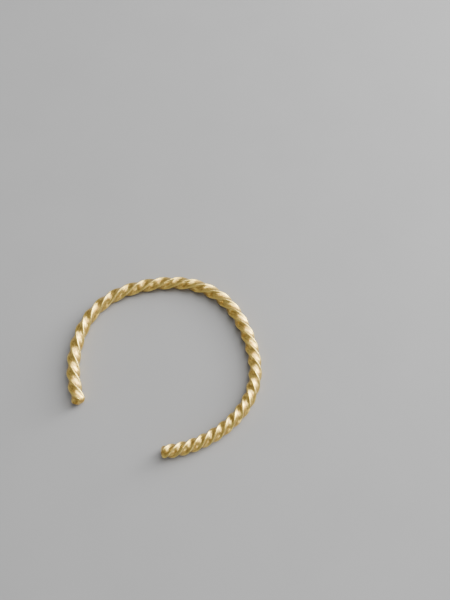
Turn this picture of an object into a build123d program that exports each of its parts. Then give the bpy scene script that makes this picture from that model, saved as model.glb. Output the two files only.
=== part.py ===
from build123d import *
import math
import os

os.makedirs("parts", exist_ok=True)

# A cuff bangle made from one length of square brass bar, twisted left-handed along
# its length, bent into an open C and laid flat. Millimetres, +Z up.

# The bar
barLength = 153.3          # about six inches from tip to tip, measured along the bend
squareSide = 3.25          # across the flats of the square bar
ridgeFlat = 0.28           # width of the narrow flat filed along each of the four ridges
tipRound = 1.5             # the filed radius round each tip

# The bend: arcs along the middle line, from the back of the wrist out to a tip
backRadius = 24.2
backTurn = 28.4
shoulderRadius = 43.7
shoulderTurn = 23.7
sideRadius = 23.1
sideTurn = 49.5
endRadius = 34.5           # this arc takes up what is left of the bar
backOffset = 0.15          # the back is this much nearer the tight tip than the loose one

# The twist: the distance between neighbouring ridges at four even places along the
# bar, from the tight end on the +X side round to the looser end on the -X side
ridgeSpacings = (3.27, 4.58, 5.73, 4.74)
tightTipTurn = 29.5        # how far the square is turned at the tight tip, in degrees

# How closely the twist and the tips are followed
stepsAlong = 120
stepsRoundTip = 6


def armArcs(armLength):
    """Radius and turn of the arcs from the back of the wrist out to one tip."""
    arcs = [
        (backRadius, backTurn),
        (shoulderRadius, shoulderTurn),
        (sideRadius, sideTurn),
    ]
    used = sum(radius * math.radians(turn) for radius, turn in arcs)
    return arcs + [(endRadius, math.degrees((armLength - used) / endRadius))]


def middleLine():
    """The bar's middle line, from the tight tip round the wrist to the other tip."""
    tightArm = armArcs(barLength / 2 - backOffset)
    looseArm = armArcs(barLength / 2 + backOffset)
    at = Vector(0, 0, 0)
    heading = Vector(-1, 0, 0).rotate(Axis.Z, -sum(turn for radius, turn in tightArm))
    pieces = []
    for radius, turn in tightArm[::-1] + looseArm:
        arc = JernArc(start=at, tangent=heading, radius=radius, arc_size=turn)
        at, heading = arc @ 1, arc % 1
        pieces.append(arc.edge())
    return Wire(pieces)


def ridgesPerMm(along):
    """A smooth curve through the four named spacings, each counted as ridges per mm."""
    places = range(len(ridgeSpacings))
    last = len(ridgeSpacings) - 1
    rate = 0.0
    for place in places:
        weight = 1.0
        for other in places:
            if other != place:
                weight *= (along * last - other) / (place - other)
        rate += weight / ridgeSpacings[place]
    return rate


def turnedAt(distance):
    """How far the square has turned, in degrees, this many millimetres from the tip."""
    pieces = 40
    step = distance / pieces
    middles = [(number + 0.5) * step for number in range(pieces)]
    ridges = sum(ridgesPerMm(middle / barLength) for middle in middles) * step
    return tightTipTurn + 90 * ridges


def stations():
    """Places along the bar, each with the share of its full size that it has there."""
    ridgeReach = math.hypot(squareSide / 2, squareSide / 2 - ridgeFlat / math.sqrt(2))
    tip = []
    for number in range(stepsRoundTip):
        angle = math.radians(90 * number / stepsRoundTip)
        reach = ridgeReach - tipRound + tipRound * math.sin(angle)
        tip.append((tipRound * (1 - math.cos(angle)), reach / ridgeReach))
    run = barLength - 2 * tipRound
    middle = [(tipRound + run * number / stepsAlong, 1) for number in range(stepsAlong + 1)]
    farTip = [(barLength - distance, share) for distance, share in tip[::-1]]
    return tip + middle + farTip


def cornerPoints():
    """The square's eight corners in order, two to a ridge because of its filed flat."""
    half = squareSide / 2
    inner = half - ridgeFlat / math.sqrt(2)
    return [
        (half, inner), (inner, half), (-inner, half), (-half, inner),
        (-half, -inner), (-inner, -half), (inner, -half), (half, -inner),
    ]


def cornerTrack(line, corner):
    """The points that one corner passes through as the square is carried along."""
    points = []
    for distance, share in stations():
        along = distance / barLength
        heading = line % along
        outward = heading.cross(Vector(0, 0, 1))
        place = Plane(origin=line @ along, x_dir=outward, z_dir=heading)
        x, y = (share * value for value in corner)
        turn = math.radians(-turnedAt(distance))
        across = x * math.cos(turn) - y * math.sin(turn)
        up = x * math.sin(turn) + y * math.cos(turn)
        points.append(place.from_local_coords(Vector(across, up, 0)))
    return points


def twistedBar():
    line = middleLine()
    tracks = [cornerTrack(line, corner) for corner in cornerPoints()]
    lengths = [0.0]
    for here, there in zip(tracks[0], tracks[0][1:]):
        lengths.append(lengths[-1] + (there - here).length)
    places = [length / lengths[-1] for length in lengths]
    edges = [Edge.make_spline(track, parameters=places) for track in tracks]
    neighbours = edges[1:] + edges[:1]
    faces = [Face.make_surface_from_curves(*pair) for pair in zip(edges, neighbours)]
    for end in (0, -1):
        faces.append(Face(Wire.make_polygon([track[end] for track in tracks])))
    return Solid(Shell(faces))


bar = twistedBar()

# The frame: origin under the middle of the outline, on the table
outline = bar.bounding_box()
middle = outline.center()
bar = Pos(-middle.X, -middle.Y, -outline.min.Z) * bar
export_step(bar, "parts/twisted_bar.step")
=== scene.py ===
import bisect
import math

import bmesh
import bpy
from mathutils import Matrix, Vector, noise


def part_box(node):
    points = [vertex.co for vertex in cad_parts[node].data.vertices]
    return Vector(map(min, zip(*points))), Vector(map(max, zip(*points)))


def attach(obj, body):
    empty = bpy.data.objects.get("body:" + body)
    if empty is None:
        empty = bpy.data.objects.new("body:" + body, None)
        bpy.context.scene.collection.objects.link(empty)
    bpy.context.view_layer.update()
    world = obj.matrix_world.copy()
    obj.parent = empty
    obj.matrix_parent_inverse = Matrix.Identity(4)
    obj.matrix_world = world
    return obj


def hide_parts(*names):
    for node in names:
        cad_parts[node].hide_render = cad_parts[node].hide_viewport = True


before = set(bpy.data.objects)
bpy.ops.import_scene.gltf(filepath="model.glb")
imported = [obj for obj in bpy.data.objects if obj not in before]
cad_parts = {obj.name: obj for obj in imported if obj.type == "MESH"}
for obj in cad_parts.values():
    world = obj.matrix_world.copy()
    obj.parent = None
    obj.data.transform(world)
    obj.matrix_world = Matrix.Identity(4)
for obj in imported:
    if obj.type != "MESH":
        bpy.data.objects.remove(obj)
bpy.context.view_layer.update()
print("frame loaded")

# A cuff bangle: one square brass bar, twisted and bent into an open C. Lengths are in metres, turns
# in degrees.
bar = {
    "length": 0.1533,              # about six inches, tip to tip along the bend
    "side": 0.00325,               # across the flats
    "ridgeRadius": 0.00033,        # the ridges are filed and worn round
    "tipRound": 0.0015,            # each tip is filed to this radius
    "bend": (                      # radius and turn of each arc, from the back of the wrist outwards
        (0.0242, 28.4),
        (0.0437, 23.7),
        (0.0231, 49.5),
    ),
    "endRadius": 0.0345,           # the arc that takes up what is left of the bar
    "backOffset": 0.00015,         # the back is this much nearer the tight tip
    "ridgeSpacings": (0.00327, 0.00458, 0.00573, 0.00474),      # from the tight tip to the other
    "tightTipTurn": 29.5,          # how far the square is turned at the tight tip
    "twistSteps": 40,              # steps that the twist is added up in

    "ringStep": 0.0002,            # distance between the rings of the mesh
    "tipRings": 14,
    "ridgeSteps": 5,               # faces round a ridge
    "flatCuts": 8,                 # cuts across a flat

    "flatDip": 0.000034,           # shallow unevenness of the flats
    "flatDipEvery": 0.0021,
    "flatDipAlong": 0.6,           # under 1, so a dip is longer along the bar than across
    "flatDipShift": 0.5,           # added to the noise, so that most places lie a little low
    "ridgeWear": 0.00005,          # how deep the file strokes cut into the ridges
    "ridgeWearEvery": 0.0014,
    "ridgeWearAcross": 0.7,        # under 1, so a stroke is longer across the ridge
    "ridgeWearShift": 0.1,         # added to its noise
    "seed": 7.3,
}


def armArcs(armLength):
    arcs = list(bar["bend"])
    used = sum(radius * math.radians(turn) for radius, turn in arcs)
    arcs.append((bar["endRadius"], math.degrees((armLength - used) / bar["endRadius"])))
    return arcs


def arcStarts():
    # each arc as its start along the bar, its centre, the angle it starts at and its radius
    tightArm = armArcs(bar["length"] / 2 - bar["backOffset"])
    looseArm = armArcs(bar["length"] / 2 + bar["backOffset"])
    heading = math.pi - sum(math.radians(turn) for radius, turn in tightArm)
    at = Vector((0, 0))
    along = 0.0
    starts = []
    for radius, turn in tightArm[::-1] + looseArm:
        toCentre = Vector((-math.sin(heading), math.cos(heading))) * radius
        starts.append((along, at + toCentre, heading - math.pi / 2, radius))
        heading += math.radians(turn)
        at = at + toCentre + Vector((math.sin(heading), -math.cos(heading))) * radius
        along += radius * math.radians(turn)
    return starts


def ridgesPerMetre(along):
    # a smooth curve through the four spacings, at a share of the way along the bar
    spacings = bar["ridgeSpacings"]
    last = len(spacings) - 1
    rate = 0.0
    for place, spacing in enumerate(spacings):
        weight = 1.0
        for other in range(len(spacings)):
            if other != place:
                weight *= (along * last - other) / (place - other)
        rate += weight / spacing
    return rate


def turnedAt(distance):
    steps = bar["twistSteps"]
    step = distance / steps
    ridges = sum(ridgesPerMetre((n + 0.5) * step / bar["length"]) for n in range(steps)) * step
    quarterTurn = 90               # from one ridge to the next
    return math.radians(bar["tightTipTurn"] + quarterTurn * ridges)


def ridgeReach():
    # from the middle of the bar to the top of a ridge
    return (bar["side"] / 2 - bar["ridgeRadius"]) * math.sqrt(2) + bar["ridgeRadius"]


def ringPlaces():
    # distance along the bar and the share of the full section at each ring
    tip = []
    for n in range(bar["tipRings"]):
        angle = math.pi / 2 * n / bar["tipRings"]
        reach = ridgeReach() - bar["tipRound"] * (1 - math.sin(angle))
        tip.append((bar["tipRound"] * (1 - math.cos(angle)), reach / ridgeReach()))
    run = bar["length"] - 2 * bar["tipRound"]
    steps = round(run / bar["ringStep"])
    middle = [(bar["tipRound"] + run * n / steps, 1) for n in range(steps + 1)]
    return tip + middle + [(bar["length"] - distance, share) for distance, share in tip[::-1]]


def sectionMatrix(starts, distance, share):
    # local x is along the bar, y points away from the wrist and z up, before the twist
    index = bisect.bisect_right([start[0] for start in starts], distance) - 1
    along, centre, angle, radius = starts[max(index, 0)]
    angle += (distance - along) / radius
    out = Vector((math.cos(angle), math.sin(angle), 0))
    heading = Vector((-math.sin(angle), math.cos(angle), 0))
    up = Vector((0, 0, 1))
    turn = Matrix((heading, out, up)).transposed().to_4x4()
    at = Matrix.Translation((centre + Vector((out.x, out.y)) * radius).to_3d())
    return at @ turn @ Matrix.Rotation(turnedAt(distance), 4, "X") @ Matrix.Scale(share, 4)


def squareRing(bm):
    # the rounded square, standing at the start of the bar with its face as the first cap
    made = bmesh.ops.create_circle(bm, cap_ends=True, segments=4, radius=bar["side"] / math.sqrt(2))
    stand = Matrix.Rotation(math.pi / 2, 4, "Y") @ Matrix.Rotation(math.pi / 4, 4, "Z")
    bmesh.ops.transform(bm, matrix=stand, verts=made["verts"])
    bmesh.ops.bevel(bm, geom=made["verts"], offset=bar["ridgeRadius"], offset_type="OFFSET",
                    segments=bar["ridgeSteps"], profile=0.5, affect="VERTICES", material=-1)
    flats = [edge for edge in bm.edges if edge.calc_length() > bar["side"] / 2]
    bmesh.ops.subdivide_edges(bm, edges=flats, cuts=bar["flatCuts"])


def handWorn(place):
    # how far the metal lies under the true twisted square at a place on the bar
    along, across, up = place
    flat = bar["side"] / 2
    ridge = max(0.0, (math.hypot(across, up) - flat) / (ridgeReach() - flat))
    dipPlace = Vector((along * bar["flatDipAlong"], across, up)) / bar["flatDipEvery"]
    dip = noise.noise(dipPlace + Vector((0, 0, bar["seed"])))
    wearPlace = Vector((along, across * bar["ridgeWearAcross"], up * bar["ridgeWearAcross"]))
    wear = noise.noise(wearPlace / bar["ridgeWearEvery"])
    sunk = bar["flatDip"] * (bar["flatDipShift"] + dip)
    filed = bar["ridgeWear"] * max(0.0, wear + bar["ridgeWearShift"]) * ridge ** 2
    return sunk + filed


def barMesh():
    bm = bmesh.new()
    placeLayer = bm.verts.layers.float_vector.new("barPlace")
    squareRing(bm)
    starts = arcStarts()
    rim = list(bm.edges)
    previous = None
    # each ring is extruded from the last one and carried to its own place
    for distance, share in ringPlaces():
        now = sectionMatrix(starts, distance, share)
        if previous is None:
            verts = list(bm.verts)
            change = now
        else:
            grown = bmesh.ops.extrude_edge_only(bm, edges=rim)["geom"]
            verts = [item for item in grown if isinstance(item, bmesh.types.BMVert)]
            touching = set(verts)
            rim = [item for item in grown if isinstance(item, bmesh.types.BMEdge)
                   and item.verts[0] in touching and item.verts[1] in touching]
            change = now @ previous.inverted()
        bmesh.ops.transform(bm, matrix=change, verts=verts)
        back = now.inverted()
        for vert in verts:
            local = back @ vert.co * share
            vert[placeLayer] = Vector((distance, local.y, local.z))
        previous = now
    bmesh.ops.edgeloop_fill(bm, edges=rim)
    bmesh.ops.recalc_face_normals(bm, faces=bm.faces)
    bm.normal_update()
    for vert in bm.verts:
        vert.co -= vert.normal * max(0.0, handWorn(vert[placeLayer]))
    return bm


def makeBar():
    bm = barMesh()
    lows = [min(vert.co[axis] for vert in bm.verts) for axis in range(3)]
    highs = [max(vert.co[axis] for vert in bm.verts) for axis in range(3)]
    low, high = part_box("twisted_bar")
    shift = Vector([(low[axis] + high[axis] - lows[axis] - highs[axis]) / 2 for axis in range(3)])
    bmesh.ops.translate(bm, verts=bm.verts, vec=shift)
    mesh = bpy.data.meshes.new("bar")
    bm.to_mesh(mesh)
    bm.free()
    mesh.shade_smooth()
    made = bpy.data.objects.new("twisted_brass_bar", mesh)
    bpy.context.scene.collection.objects.link(made)
    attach(made, "root")
    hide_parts("twisted_bar")
    print("bar made:", len(mesh.polygons), "faces")
    return made


class Link:                        # a shader value that sums and products can be written with
    def __init__(self, finish, socket):
        self.finish = finish
        self.socket = socket

    def combined(self, operation, first, second, clamp=False):
        settings = {"operation": operation, "use_clamp": clamp}
        return self.finish.node("Math", settings, {0: first, 1: second})[0]

    def __add__(self, other):
        return self.combined("ADD", self, other)

    def __radd__(self, other):
        return self.combined("ADD", other, self)

    def __sub__(self, other):
        return self.combined("SUBTRACT", self, other)

    def __rsub__(self, other):
        return self.combined("SUBTRACT", other, self)

    def __mul__(self, other):
        return self.combined("MULTIPLY", self, other)

    def __rmul__(self, other):
        return self.combined("MULTIPLY", other, self)

    def __pow__(self, other):
        return self.combined("POWER", self, other)

    def clamped(self):
        return self.combined("ADD", self, 0.0, clamp=True)


class Finish:                      # a material whose nodes are written as code
    def __init__(self, name):
        self.material = bpy.data.materials.new(name)
        self.material.use_nodes = True
        self.tree = self.material.node_tree
        self.shader = self.tree.nodes["Principled BSDF"]

    def node(self, kind, settings, inputs):
        made = self.tree.nodes.new("ShaderNode" + kind)
        for name, value in settings.items():
            setattr(made, name, value)
        for name, value in inputs.items():
            self.join(made.inputs[name], value)
        return [Link(self, socket) for socket in made.outputs if socket.enabled]

    def join(self, socket, value):
        if isinstance(value, Link):
            self.tree.links.new(value.socket, socket)
        else:
            socket.default_value = value

    def pattern(self, place, often, detail, roughness):
        # noise that changes about this often per unit in each direction
        stretched = self.node("Mapping", {}, {"Vector": place, "Scale": often})[0]
        sockets = {"Vector": stretched, "Scale": 1.0, "Detail": detail, "Roughness": roughness}
        return self.node("TexNoise", {}, sockets)[0]

    def ramp(self, value, low, high):
        sockets = {"Value": value, "From Min": low, "From Max": high}
        return self.node("MapRange", {"interpolation_type": "SMOOTHSTEP"}, sockets)[0]

    def mixed(self, amount, first, second):
        # sockets 0, 6 and 7 are the factor and the two colours
        return self.node("Mix", {"data_type": "RGBA"}, {0: amount, 6: first, 7: second})[0]

    def surface(self, inputs):
        for name, value in inputs.items():
            self.join(self.shader.inputs[name], value)


brass = {
    "polished": (1.0, 0.74, 0.20, 1),
    "patinaShadeColour": (0.58, 0.35, 0.08, 1),       # warmer patina in the hollows, where no cloth reaches, made darker and more orange as painted shade and painted reflection of dark surroundings
    "tarnish": (0.30, 0.15, 0.035, 1),
    "tarnishShare": 0.45,                # how much of the tarnish colour shows
    "smooth": 0.24,                      # roughness where it is polished
    "dull": 0.34,                        # roughness where it is tarnished
    "strokeRough": 0.08,                 # roughness that strokes and hollows add
    "hollowRough": 0.07,
    "strokeDepth": 0.00001,              # how deep the strokes, the filing and the dents look
    "fileDepth": 0.00002,
    "dentDepth": 0.00012,
    "ridgeFrom": 1.06,                   # a ridge rises from this share of half a side
    "ridgeTo": 0.985,                    # to this share of its full reach
    "patinaShadeFrom": 0.30,                  # the cloudiness at which a hollow starts to take the patina and painted shade
    "patinaShadeTo": 0.62,                    # and at which it is darkest
    "tarnishFrom": 0.56,
    "tarnishTo": 0.68,
    "speckShare": 0.4,                   # the tarnish is part specks, part clouds
    "cloudShare": 0.6,
    # changes per millimetre along, across and up the bar, detail and roughness of the noise
    "strokes": ((0.35, 9.0, 9.0), 3.0, 0.6),
    "filing": ((7.0, 1.2, 1.2), 2.0, 0.6),
    "clouds": ((0.8, 1.3, 1.3), 3.0, 0.55),
    "specks": ((6.0, 6.0, 6.0), 2.0, 0.5),
    "dents": ((0.8, 1.3, 1.3), 1.5, 0.5),
}


def brassFinish():
    finish = Finish("brass")
    perMetre = 1000.0                    # millimetres in a metre
    place = finish.node("Attribute", {"attribute_name": "barPlace"}, {})[1]
    sockets = {"Vector": place, "Scale": perMetre}
    millimetres = finish.node("VectorMath", {"operation": "SCALE"}, sockets)[0]
    along, across, up = finish.node("SeparateXYZ", {}, {"Vector": millimetres})
    reach = (across * across + up * up) ** 0.5
    ridgeStart = bar["side"] / 2 * perMetre * brass["ridgeFrom"]
    ridgeTop = ridgeReach() * perMetre * brass["ridgeTo"]
    ridge = finish.ramp(reach, ridgeStart, ridgeTop)

    strokes = finish.pattern(millimetres, *brass["strokes"])
    filing = finish.pattern(millimetres, *brass["filing"])
    clouds = finish.pattern(millimetres, *brass["clouds"])
    specks = finish.pattern(millimetres, *brass["specks"])
    dents = finish.pattern(millimetres, *brass["dents"])

    # painted shade: away from the ridges, cloudy patches on the flats take the darker hollow colour,
    # which is partly patina and partly painted shade and painted reflection
    patinaShadeMask = (1.0 - ridge) * finish.ramp(clouds, brass["patinaShadeFrom"], brass["patinaShadeTo"])
    stained = specks * brass["speckShare"] + clouds * brass["cloudShare"]
    tarnished = finish.ramp(stained, brass["tarnishFrom"], brass["tarnishTo"]) * (1.0 - ridge)
    tarnished = tarnished.clamped()

    colour = finish.mixed(patinaShadeMask, brass["polished"], brass["patinaShadeColour"])
    colour = finish.mixed(tarnished * brass["tarnishShare"], colour, brass["tarnish"])
    rough = brass["smooth"] + strokes * brass["strokeRough"] + patinaShadeMask * brass["hollowRough"]
    rough = rough + tarnished * (brass["dull"] - brass["smooth"])
    height = strokes * brass["strokeDepth"] + filing * ridge * brass["fileDepth"]
    height = height + dents * brass["dentDepth"]
    bump = finish.node("Bump", {}, {"Strength": 1.0, "Distance": 1.0, "Height": height})[0]
    finish.surface({"Base Color": colour, "Roughness": rough, "Metallic": 1.0, "Normal": bump})
    return finish.material


studio = {
    "floorSize": 4.0,
    "floorColour": (0.30, 0.30, 0.30, 1),             # two greys, mixed by the grain
    "floorDeep": (0.275, 0.275, 0.275, 1),
    "floorRough": 0.7,
    "floorGrain": ((40.0, 40.0, 40.0), 3.0, 0.5),     # changes per metre, detail and roughness
    "sky": 0.32,                     # how bright the light from all round is
    "lampDistance": 1.0,             # from the middle of the bangle's place on the floor
    "lamps": {                       # degrees round from +X and above the table, width, height, radiance
        "low_window": (60, 12, 0.42, 0.42, 20.0),
        "bright_wall": (60, 24, 1.5, 0.8, 3.0),
        "window": (60, 36, 0.5, 0.45, 8.0),
        "high_window": (68, 60, 0.8, 0.5, 5.4),
        "ceiling": (60, 86, 0.5, 0.5, 3.2),
        "side": (330, 14, 0.4, 0.4, 2.8),
    },
}


def makeFloor():
    bm = bmesh.new()
    bmesh.ops.create_grid(bm, x_segments=1, y_segments=1, size=studio["floorSize"] / 2)
    mesh = bpy.data.meshes.new("floor")
    bm.to_mesh(mesh)
    bm.free()
    floor = bpy.data.objects.new("floor", mesh)
    bpy.context.scene.collection.objects.link(floor)
    finish = Finish("floor")
    place = finish.node("TexCoord", {}, {})[3]        # the object's own coordinates
    grain = finish.pattern(place, *studio["floorGrain"])
    colour = finish.mixed(grain, studio["floorColour"], studio["floorDeep"])
    finish.surface({"Base Color": colour, "Roughness": studio["floorRough"]})
    mesh.materials.append(finish.material)


def direction(azimuth, elevation):
    turn = math.radians(azimuth)
    rise = math.radians(elevation)
    return Vector((math.cos(turn) * math.cos(rise), math.sin(turn) * math.cos(rise), math.sin(rise)))


def softBox(name, azimuth, elevation, width, height, radiance):
    light = bpy.data.lights.new(name, "AREA")
    light.shape = "RECTANGLE"
    light.size = width
    light.size_y = height
    light.energy = radiance * math.pi * width * height        # the power that gives this radiance
    lamp = bpy.data.objects.new(name, light)
    lamp.location = direction(azimuth, elevation) * studio["lampDistance"]
    lamp.rotation_mode = "QUATERNION"
    lamp.rotation_quaternion = (-lamp.location).to_track_quat("-Z", "Y")
    bpy.context.scene.collection.objects.link(lamp)


def makeLight():
    for name, place in studio["lamps"].items():
        softBox(name, *place)
    world = bpy.data.worlds.new("studio")
    world.use_nodes = True
    sky = world.node_tree.nodes["Background"].inputs
    sky["Color"].default_value = (studio["sky"],) * 3 + (1,)
    bpy.context.scene.world = world


view = {
    "from": (0.05666, -0.05972, 0.19894),
    "azimuth": 120.49,               # the way the camera faces, round from +X
    "down": 63.0,                    # degrees below level
    "lens": 39.0,
    "near": 0.01,                    # nothing closer than this is drawn
}


def makeCamera():
    camera = bpy.data.objects.new("camera", bpy.data.cameras.new("camera"))
    camera.data.lens = view["lens"]
    camera.data.clip_start = view["near"]
    camera.location = view["from"]
    camera.rotation_mode = "QUATERNION"
    camera.rotation_quaternion = direction(view["azimuth"], -view["down"]).to_track_quat("-Z", "Y")
    bpy.context.scene.collection.objects.link(camera)
    bpy.context.scene.camera = camera


bangle = makeBar()
metal = brassFinish()
bangle.data.materials.append(metal)
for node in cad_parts.values():
    node.data.materials.clear()
    node.data.materials.append(metal)
print("brass finished")
makeFloor()
makeLight()
makeCamera()
print("studio ready")
